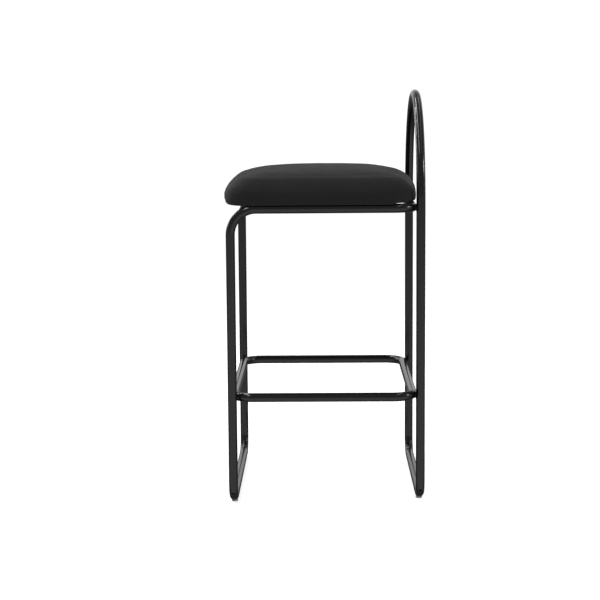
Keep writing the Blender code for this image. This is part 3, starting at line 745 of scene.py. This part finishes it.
def cushion_form(unswollen):
    """A closed crowned form, or with 1 the one that swells into it."""
    build = bmesh.new()
    rings = []

    def add_ring(scale, inset_at, height_at, tightening=0.0):
        """A ring of the outline, drawn in and then scaled about the middle."""
        ring = []
        for place, way in SEAT_EDGE:
            inset = inset_at(way)
            spot = (place - way * (inset - unswollen * tightening)) * scale
            ring.append(build.verts.new((*bowed(*spot), SEAT_BOTTOM + height_at(spot, inset))))
        rings.append(ring)

    for scale in (0.08, 0.3, 0.55, 0.8, 1.0):
        add_ring(scale, under_round, lambda spot, inset: 0.0)
    for step in range(1, 7):
        angle = math.pi / 2 * step / 6
        add_ring(1, lambda way: under_round(way) * (1 - math.sin(angle)),
                 lambda spot, inset: NOSE * (1 - math.cos(angle)), TIGHTENING[0] * (1 - math.cos(angle)))
    steps = 14
    widest = SHOULDER_WIDTH[0]
    for step in range(1, steps + 1):
        add_ring(1, lambda way: widest * (step / steps) ** 2,
                 lambda spot, inset: NOSE + shoulder(*spot, inset) - unswollen * crown_swell(*spot),
                 TIGHTENING[0] + TIGHTENING[1] * math.sin(math.pi * step / steps))
    for scale in (0.9, 0.78, 0.64, 0.5, 0.36, 0.22, 0.08):
        add_ring(scale, lambda way: widest,
                 lambda spot, inset: NOSE + shoulder(*spot, inset) - unswollen * crown_swell(*spot))
    stack(build, rings)
    return finish_mesh("cushion_form", build)


def coordinates(mesh):
    values = np.empty(len(mesh.vertices) * 3)
    mesh.vertices.foreach_get("co", values)
    return values.reshape(-1, 3)


def with_modifier(mesh, kind, **settings):
    """The mesh after one modifier."""
    holder = bpy.data.objects.new("holder", mesh)
    bpy.context.scene.collection.objects.link(holder)
    modifier = holder.modifiers.new(kind, kind)
    for name, value in settings.items():
        setattr(modifier, name, value)
    result = evaluated_mesh(holder)
    bpy.data.objects.remove(holder, do_unlink=True)
    return result


def relaxed(mesh, values, rounds):
    """Values at a mesh's vertices, averaged with their neighbours' again and again."""
    ends = np.empty(len(mesh.edges) * 2, dtype=np.int64)
    mesh.edges.foreach_get("vertices", ends)
    first, second = ends.reshape(-1, 2).T
    neighbours = np.bincount(ends, minlength=len(values))[:, None]
    for _ in range(rounds):
        total = np.zeros_like(values)
        np.add.at(total, first, values[second])
        np.add.at(total, second, values[first])
        values = (values + total / neighbours) / 2
    return values


def inflate(mesh):
    """Swell a closed form as tight cloth over foam, held along its flat underside."""
    scene = bpy.context.scene
    start = coordinates(mesh)
    pad = bpy.data.objects.new("inflating_pad", mesh)
    scene.collection.objects.link(pad)
    held = pad.vertex_groups.new(name="held")
    for index, height in enumerate(start[:, 2] - SEAT_BOTTOM):
        held.add([index], 1 - smooth((height - 2 * MM) / (7 * MM)), "REPLACE")
    cloth = pad.modifiers.new("cloth", "CLOTH")
    for name, value in CLOTH_SETTINGS.items():
        setattr(cloth.settings, name, value)
    cloth.settings.vertex_group_mass = held.name
    cloth.settings.effector_weights.gravity = 0
    cloth.point_cache.frame_start = 1
    cloth.point_cache.frame_end = CLOTH_FRAMES
    for frame_number in range(1, CLOTH_FRAMES + 1):
        scene.frame_set(frame_number)
    moved = coordinates(evaluated_mesh(pad)) - start
    pad.modifiers.remove(cloth)
    scene.frame_set(1)
    distance = np.linalg.norm(moved, axis=1, keepdims=True)
    print("cushion swelled by up to", round(float(distance.max()) / MM, 2), "mm, middle",
          round(float(np.median(distance)) / MM, 2))
    moved *= np.minimum(1, SWELL_CAP / np.maximum(distance, 1e-9))
    moved = relaxed(mesh, moved, SWELL_SMOOTHING)
    free = np.clip((start[:, 2:] - SEAT_BOTTOM - 3 * MM) / (15 * MM), 0, 1)
    moved *= free
    bpy.data.objects.remove(pad, do_unlink=True)
    mesh.vertices.foreach_set("co", (start + moved).ravel())
    mesh.update()
    return mesh


def beyond_rails(x, y):
    """How far a plan point lies outside the middle line of the seat rails."""
    front_end = FRONT_X + TOP_BEND - RAIL_LEAD
    middle, half = (front_end + SEAT_REAR_X) / 2, (SEAT_REAR_X - front_end) / 2
    past = Vector((abs(x - middle) - half + CORNER_BEND, abs(y) - SIDE_Y + CORNER_BEND))
    outward = Vector((max(past.x, 0), max(past.y, 0))).length
    return outward + min(max(past.x, past.y), 0) - CORNER_BEND


def settle(mesh):
    """Small natural unevenness, pull marks along the stapled lower edge, and a droop outside the rails."""
    normals = np.empty(len(mesh.vertices) * 3)
    mesh.vertices.foreach_get("normal", normals)
    normals = normals.reshape(-1, 3)
    points = coordinates(mesh)
    for index, (point, normal) in enumerate(zip(points, normals)):
        height = point[2] - SEAT_BOTTOM
        place = Vector(point)
        free = smooth((height - 1 * MM) / (12 * MM))
        lift = sum(depth * noise.noise(place * scale) for depth, scale in UNEVEN)
        along = math.atan2(point[1], (point[0] - SEAT_X) * SEAT_HALF[1] / SEAT_HALF[0])
        low_side = smooth(height / (6 * MM)) * (1 - smooth((height - 8 * MM) / (16 * MM)))
        lift += PULL_MARKS[0] * math.sin(along * PULL_MARKS[1] + 2.5 * noise.noise(place * 9)) * low_side
        points[index] += normal * lift * max(free, low_side)
        astern = smooth((point[0] - SEAT_REAR_X + CORNER_BEND + 32 * MM) / (52 * MM))
        droop = DROOP * (1 - smooth(height / DROOP_HEIGHT[0]))
        droop += REAR_DROOP * astern * (1 - smooth(height / DROOP_HEIGHT[1]))
        # It sinks no deeper than the rail's own round lets it.
        beside = min(max(beyond_rails(point[0], point[1]), 0), TUBE_RADIUS)
        points[index][2] -= min(droop, TUBE_RADIUS - math.sqrt(TUBE_RADIUS ** 2 - beside ** 2))
    mesh.vertices.foreach_set("co", points.ravel())
    mesh.update()
    return mesh


def fabric_material():
    """Charcoal wool melange: a plain weave on each side of the form, with fuzz, flecks and a soft sheen."""
    shader = Shader("charcoal_wool", roughness=0.92)
    # The threads wander a little.
    wander = shader.add("ShaderNodeTexNoise", Vector=shader.place, Scale=60, Detail=2)
    shift = shader.add("ShaderNodeVectorMath", "MULTIPLY_ADD", i0=wander.outputs["Color"],
                       i1=(0.9 * MM,) * 3, i2=shader.place)
    split = shader.add("ShaderNodeSeparateXYZ", Vector=shift.outputs["Vector"])
    thread = 1.15 * MM
    waves = [shader.math("SINE", shader.math("MULTIPLY", split.outputs[axis], math.pi / thread))
             for axis in range(3)]
    facing = shader.add("ShaderNodeSeparateXYZ", Vector=shader.coordinate.outputs["Normal"])
    weave, share_sum = None, None
    for axis in range(3):
        crossing = shader.math("MULTIPLY", waves[(axis + 1) % 3], waves[(axis + 2) % 3])
        share = shader.math("POWER", shader.math("ABSOLUTE", facing.outputs[axis]), 6.0)
        part = shader.math("MULTIPLY", crossing, share)
        weave = part if weave is None else shader.math("ADD", weave, part)
        share_sum = share if share_sum is None else shader.math("ADD", share_sum, share)
    weave = shader.math("DIVIDE", weave, share_sum)
    over = shader.ramp(shader.math("MULTIPLY_ADD", weave, 0.5, 0.5), [(0.42, 0.0), (0.58, 1.0)])
    fleck = shader.noise(1100, detail=3, roughness=0.65)
    flecks = shader.ramp(fleck, [(0.56, 0.0), (0.70, 1.0)])
    tone = shader.ramp(shader.noise(9, detail=3), [(0.3, (0.0124, 0.0117, 0.0115)),
                                                     (0.7, (0.0158, 0.0148, 0.0146))])
    color = shader.mix(over, tone, (0.0235, 0.0222, 0.0220))
    color = shader.mix(flecks, color, (0.046, 0.0435, 0.0435))
    shader.feed("Base Color", color)
    shader.feed("Roughness", shader.ramp(fleck, [(0.3, 0.82), (0.7, 0.97)]))
    shader.feed("Specular IOR Level", 0.25)
    shader.feed("Sheen Weight", 0.12)
    shader.feed("Sheen Roughness", 0.40)
    shader.feed("Sheen Tint", (0.75, 0.73, 0.73, 1.0))
    knots = shader.math("ABSOLUTE", weave)
    under = shader.bump(knots, 0.28 * MM, 0.8)
    shader.bump(shader.noise(2600, detail=4, roughness=0.7), 0.15 * MM, 0.6, under=under)
    return shader.material


FABRIC = fabric_material()
cushion_mesh = inflate(with_modifier(cushion_form(1), "REMESH", mode="VOXEL", voxel_size=VOXEL))
cushion_mesh = settle(with_modifier(cushion_mesh, "SUBSURF", levels=1, render_levels=1))
cushion = add_piece("seat_cushion", cushion_mesh, FABRIC, ["seat_cover", "foam_pad"])
cushion.data.shade_smooth()


# ---- Under the seat ----
FOLDS = 7                        # at each corner
FOLD_TURN = 2.9                  # folds before this lean one way, and the rest the other
FOLD_INSETS = (13 * MM, 50 * MM)   # of the outer and the inner end, from the cushion's edge
FOLD_PROFILE = ((-0.55, 0.35), (-0.45, -0.45), (-0.15, -0.75), (0.25, -0.62), (0.5, -0.3), (0.62, 0.35))


def tucks_piece():
    """Folds of the turned-under cover, lying flat and fanned round each corner."""
    build = bmesh.new()
    for quarter in range(4):
        for fold in range(FOLDS):
            angle = math.pi / 2 * (quarter + (fold + 0.5) / FOLDS)
            lean = math.copysign(1, fold - FOLD_TURN)
            start, end = (fold_place(angle, quarter, inset) for inset in FOLD_INSETS)
            add_fold(build, start, end, lean, fold)
    return finish_mesh("cover_folds", build)


def fold_place(angle, quarter, inset):
    sign_x = 1 if quarter in (0, 3) else -1
    sign_y = 1 if quarter in (0, 1) else -1
    reach = SEAT_CORNER - inset
    px = sign_x * (SEAT_HALF[0] - SEAT_CORNER) + reach * math.cos(angle)
    py = sign_y * (SEAT_HALF[1] - SEAT_CORNER) + reach * math.sin(angle)
    return Vector((*bowed(px, py), SEAT_BOTTOM))


def add_fold(build, start, end, lean, seed):
    """One flattened fold of cloth, wide and high at its inner end and dying out at the edge."""
    along = (end - start).normalized()
    across = Vector((-along.y, along.x, 0)) * lean
    rows = 12
    rings = []
    for row in range(rows + 1):
        share = row / rows
        grow = smooth(share * 1.3 + 0.04)
        width = (1.5 + 6.5 * grow) * MM
        tall = (0.15 + 0.85 * grow) * MM
        sway = 0.5 * MM * math.sin(share * 5 + seed * 1.7)
        middle = start.lerp(end, share) + across * sway
        rings.append([build.verts.new(middle + across * width * u + Vector((0, 0, tall * v)))
                      for u, v in FOLD_PROFILE])
    stack(build, rings)


low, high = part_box("dust_cover")
SHEET_HALF = ((high.x - low.x) / 2, (high.y - low.y) / 2)
SHEET_CORNER = 38 * MM
SHEET_TOP = high.z - 0.05 * MM
SHEET_THICKNESS = 0.4 * MM
HEM_WIDTH = 12 * MM
SHEET_X = (low.x + high.x) / 2
SAG = 2.2 * MM
CREASE = 0.8 * MM
STAPLE_INSET = 6 * MM
STAPLE_SPACING = 38 * MM
STAPLE_HALF = 5 * MM
STAPLE_WIRE = 0.38 * MM


def sheet_outline(inset, spacing=6 * MM):
    """Plan points round the dust cover, drawn in by an inset, with the direction that points out of it."""
    side_steps = [max(1, round(2 * (half - SHEET_CORNER) / spacing)) for half in SHEET_HALF]
    edge = rounded_outline(SHEET_HALF, SHEET_CORNER, 10, side_steps)
    return [(place - way * inset, way) for place, way in edge]


def sheet_sag(px, py, edge):
    """How far the cloth hangs below its stapled edge, with slack creases running in from the corners."""
    bow = (1 - (px / SHEET_HALF[0]) ** 2) * (1 - (py / SHEET_HALF[1]) ** 2)
    crease = noise.noise(Vector((px * 14 + py * 9, py * 10 - px * 6, 3.1)))
    crease += 0.5 * noise.noise(Vector((px * 38 - py * 22, py * 30 + px * 20, 7.7)))
    return smooth(edge / (45 * MM)) * (SAG * bow + CREASE * crease) + 0.1 * MM * (1 + crease)


def sheet_mesh():
    build = bmesh.new()
    insets = [0, 0.25 * MM, 0.9 * MM, 3 * MM, 6 * MM, 9 * MM, 11 * MM, HEM_WIDTH, 13.2 * MM, 15 * MM, 19 * MM,
              24 * MM, 30 * MM]
    shares = [1 - 0.06 * step for step in range(1, 16)] + [0.05]
    plan = [[(place.x, place.y, inset) for place, _ in sheet_outline(inset)] for inset in insets]
    inner = [place for place, _ in sheet_outline(insets[-1])]
    for share in shares:
        ring = []
        for place in inner:
            px, py = place.x * share, place.y * share
            ring.append((px, py, min(SHEET_HALF[0] - abs(px), SHEET_HALF[1] - abs(py))))
        plan.append(ring)

    def lift(ring, lower):
        made = []
        for px, py, edge in ring:
            hem = 0.4 * MM * (1 - smooth((edge - HEM_WIDTH + 0.6 * MM) / (1.4 * MM)))
            roll = 0.35 * MM * (1 - smooth(edge / (0.9 * MM)))
            height = SHEET_TOP - sheet_sag(px, py, edge)
            if lower:
                height -= SHEET_THICKNESS + hem - roll
            made.append(build.verts.new((SHEET_X + px, py, height)))
        return made

    lower = [lift(ring, True) for ring in plan]
    upper = [lift(ring, False) for ring in plan]
    for rings in (lower, upper):
        stack(build, rings, capped=False)
        build.faces.new(rings[-1])
    bridge(build, lower[0], upper[0])
    return finish_mesh("dust_cover_sheet", build)


def dust_material():
    """Black non-woven cloth: embossed points, matted fibres and a faint grey cast."""
    shader = Shader("black_nonwoven", roughness=0.85)
    base = shader.ramp(shader.noise(900, detail=5, roughness=0.7),
                       [(0.35, (0.012, 0.012, 0.013)), (0.65, (0.032, 0.032, 0.033))])
    shader.feed("Base Color", base)
    shader.feed("Roughness", shader.ramp(shader.noise(500, detail=4), [(0.3, 0.7), (0.7, 0.95)]))
    shader.feed("Sheen Weight", 0.12)
    dots = shader.math("MULTIPLY", shader.wave("X", 1.4 * MM), shader.wave("Y", 1.4 * MM))
    under = shader.bump(shader.ramp(dots, [(0.35, 1.0), (0.75, 0.0)]), 0.12 * MM, 0.8)
    shader.bump(shader.noise(1800, detail=4, roughness=0.7), 0.08 * MM, 0.7, under=under)
    return shader.material


def rod_into(build, points, radius, sides=10):
    """An open round wire through some points, closed at both ends."""
    rings = []
    for index, point in enumerate(points):
        last, after = points[max(index - 1, 0)], points[min(index + 1, len(points) - 1)]
        along = (after - last).normalized()
        side = along.orthogonal().normalized()
        if abs(along.z) < 0.999:
            side = Vector((0, 0, 1)).cross(along).normalized()
        across = along.cross(side)
        rings.append([build.verts.new(point + (side * math.cos(math.tau * step / sides)
                                               + across * math.sin(math.tau * step / sides)) * radius)
                      for step in range(sides)])
    stack(build, rings)


def staples_mesh():
    """Wire staples round the dust cover's hem, each a little out of line."""
    build = bmesh.new()
    line = sheet_outline(STAPLE_INSET, spacing=2 * MM)
    walked, wanted = 0.0, 0.0
    for index, (place, away) in enumerate(line):
        after = line[(index + 1) % len(line)][0]
        if walked >= wanted:
            wanted += STAPLE_SPACING
            wobble = noise.noise(Vector((index * 0.37, 1.3, 0.0)))
            direction = Vector((-away.y, away.x)).normalized()
            direction.rotate(Matrix.Rotation(0.35 * wobble, 2))
            middle = Vector((SHEET_X + place.x, place.y)) + away * MM * wobble
            level = SHEET_TOP - SHEET_THICKNESS - 0.65 * MM
            half = STAPLE_HALF
            wire = []
            for offset, rise in ((-half, 1.4), (-half, 0.5), (-half * 0.93, 0.12), (-half * 0.8, 0.0),
                                 (half * 0.8, 0.0), (half * 0.93, 0.12), (half, 0.5), (half, 1.4)):
                spot = middle + direction * offset
                wire.append(Vector((spot.x, spot.y, level + rise * MM)))
            rod_into(build, wire, STAPLE_WIRE)
        walked += (after - place).length
    return finish_mesh("dust_cover_staples", build)


add_piece("cover_folds", tucks_piece(), FABRIC)
DUST_CLOTH = dust_material()
dust_sheet = add_piece("underside_cloth", sheet_mesh(), DUST_CLOTH, ["dust_cover"])
staples = add_piece("dust_cover_staples", staples_mesh(), ZINC)


# ---- Nodes that stay as packed ----
def plywood_material():
    """Birch plywood: long grain on the faces and thin glued plies on the edge."""
    shader = Shader("birch_plywood", roughness=0.65)
    grain = shader.noise(55, detail=6, roughness=0.6, stretch=(1, 9, 1))
    face = shader.ramp(grain, [(0.3, (0.50, 0.34, 0.19)), (0.55, (0.66, 0.49, 0.30)),
                              (0.75, (0.72, 0.56, 0.37))])
    plies = shader.ramp(shader.wave("Z", 2.8 * MM), [(0.35, 0.0), (0.6, 1.0)])
    shader.feed("Base Color", shader.mix(plies, face, (0.42, 0.27, 0.14)))
    shader.feed("Roughness", shader.ramp(grain, [(0.3, 0.55), (0.7, 0.8)]))
    shader.bump(grain, 0.15 * MM, 0.5)
    return shader.material


plywood = plywood_material()
for name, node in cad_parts.items():
    if name == "seat_board":
        chosen = plywood
    elif name.startswith("tee_nut"):
        chosen = ZINC
    else:
        continue
    node.data.materials.clear()
    node.data.materials.append(chosen)


# ---- Studio ----
FLOOR_HALF = 9.0


def floor_material():
    shader = Shader("pale_floor", roughness=0.8)
    shade = shader.ramp(shader.noise(3, detail=3), [(0.3, 0.88), (0.7, 0.92)])
    shader.feed("Base Color", shade)
    shader.feed("Emission Color", (1.0, 1.0, 1.0, 1.0))
    shader.feed("Emission Strength", 0.75)
    shader.feed("Specular IOR Level", 0.1)
    return shader.material


floor_build = bmesh.new()
bmesh.ops.create_grid(floor_build, x_segments=1, y_segments=1, size=FLOOR_HALF)
floor = bpy.data.objects.new("floor", finish_mesh("floor", floor_build, outward=False))
floor.data.materials.append(floor_material())
bpy.context.scene.collection.objects.link(floor)
# The studio's lower half, and not this sheet of paper, is what the tubes mirror.
floor.visible_glossy = False
floor.visible_diffuse = False

world = bpy.data.worlds.new("studio")
bpy.context.scene.world = world
world.use_nodes = True
tree = world.node_tree
tree.nodes.clear()


sky = add_node(tree, "ShaderNodeTexCoord").outputs["Generated"]
direction = add_node(tree, "ShaderNodeSeparateXYZ", Vector=sky)


def world_step(source, low_at, high_at, low_value, high_value):
    """A smooth step of brightness along one axis of the room."""
    node = add_node(tree, "ShaderNodeMapRange", Value=source)
    node.interpolation_type = "SMOOTHSTEP"
    names = ("From Min", "From Max", "To Min", "To Max")
    for name, value in zip(names, (low_at, high_at, low_value, high_value)):
        node.inputs[name].default_value = value
    return node.outputs["Result"]


# In front of the stool the floor is the brightest thing; behind it the backdrop is.
before = world_step(direction.outputs["Z"], -0.22, 0.06, 0.80, 0.27)
horizon = world_step(direction.outputs["Z"], -0.10, 0.10, 0.12, 0.75)
ceiling = world_step(direction.outputs["Z"], 0.22, 0.55, 1.0, 0.30)
beyond = add_node(tree, "ShaderNodeMath", "MULTIPLY", i0=horizon, i1=ceiling).outputs[0]
behind = world_step(direction.outputs["Y"], -0.45, 0.35, 0.0, 1.0)
glow = add_node(tree, "ShaderNodeMix", Factor=behind, A=before, B=beyond)
room = add_node(tree, "ShaderNodeBackground", Color=(1.0, 1.0, 1.0, 1.0), Strength=glow.outputs["Result"])
white = add_node(tree, "ShaderNodeBackground", Color=(1.0, 1.0, 1.0, 1.0), Strength=1.1)
camera_ray = add_node(tree, "ShaderNodeLightPath").outputs["Is Camera Ray"]
seen = add_node(tree, "ShaderNodeMixShader", i0=camera_ray, i1=room.outputs[0], i2=white.outputs[0])
add_node(tree, "ShaderNodeOutputWorld", Surface=seen.outputs[0])


def softbox(name, location, target, size, power):
    light = bpy.data.lights.new(name, "AREA")
    light.shape = "RECTANGLE"
    light.size, light.size_y = size
    light.energy = power
    lamp = bpy.data.objects.new(name, light)
    lamp.location = location
    lamp.rotation_mode = "QUATERNION"
    lamp.rotation_quaternion = (Vector(target) - Vector(location)).to_track_quat("-Z", "Y")
    lamp.visible_camera = False
    bpy.context.scene.collection.objects.link(lamp)


softbox("strip_front_top", (-1.0, 0.2, 2.9), (0, 0.1, 0.5), (4.4, 0.30), 34)
softbox("strip_rear_top", (1.0, 0.2, 2.9), (0, 0.1, 0.5), (4.4, 0.22), 7)
softbox("strip_back_left", (-1.7, 2.0, 1.9), (-0.1, -0.1, 0.6), (0.20, 2.2), 14)
softbox("strip_far_left", (-2.3, 1.3, 1.9), (-0.1, -0.1, 0.6), (0.16, 2.2), 11)
softbox("softbox_right", (2.9, -0.6, 1.6), (0, 0, 0.6), (0.45, 0.45), 13)

scene = bpy.context.scene
scene.view_settings.view_transform = "Standard"

# ---- Camera ----
YAW, PITCH, ROLL = -0.0142, 0.12924, -0.00744   # in radians, fitted to the photo
CAMERA_PLACE = (-0.0031, -3.2208, 0.8027)
LENS = 92.69                     # millimetres, on a sensor 36 wide
forward = Vector((math.sin(YAW) * math.cos(PITCH), math.cos(YAW) * math.cos(PITCH), -math.sin(PITCH)))
level_right = Vector((math.cos(YAW), -math.sin(YAW), 0))
level_up = level_right.cross(forward)
right = level_right * math.cos(ROLL) + level_up * math.sin(ROLL)
up = level_up * math.cos(ROLL) - level_right * math.sin(ROLL)
camera_data = bpy.data.cameras.new("camera")
camera_data.lens = LENS
camera_data.sensor_width = 36
camera = bpy.data.objects.new("camera", camera_data)
scene.collection.objects.link(camera)
camera.matrix_world = Matrix.Translation(CAMERA_PLACE) @ Matrix(
    (right, up, -forward)).transposed().to_4x4()
scene.camera = camera
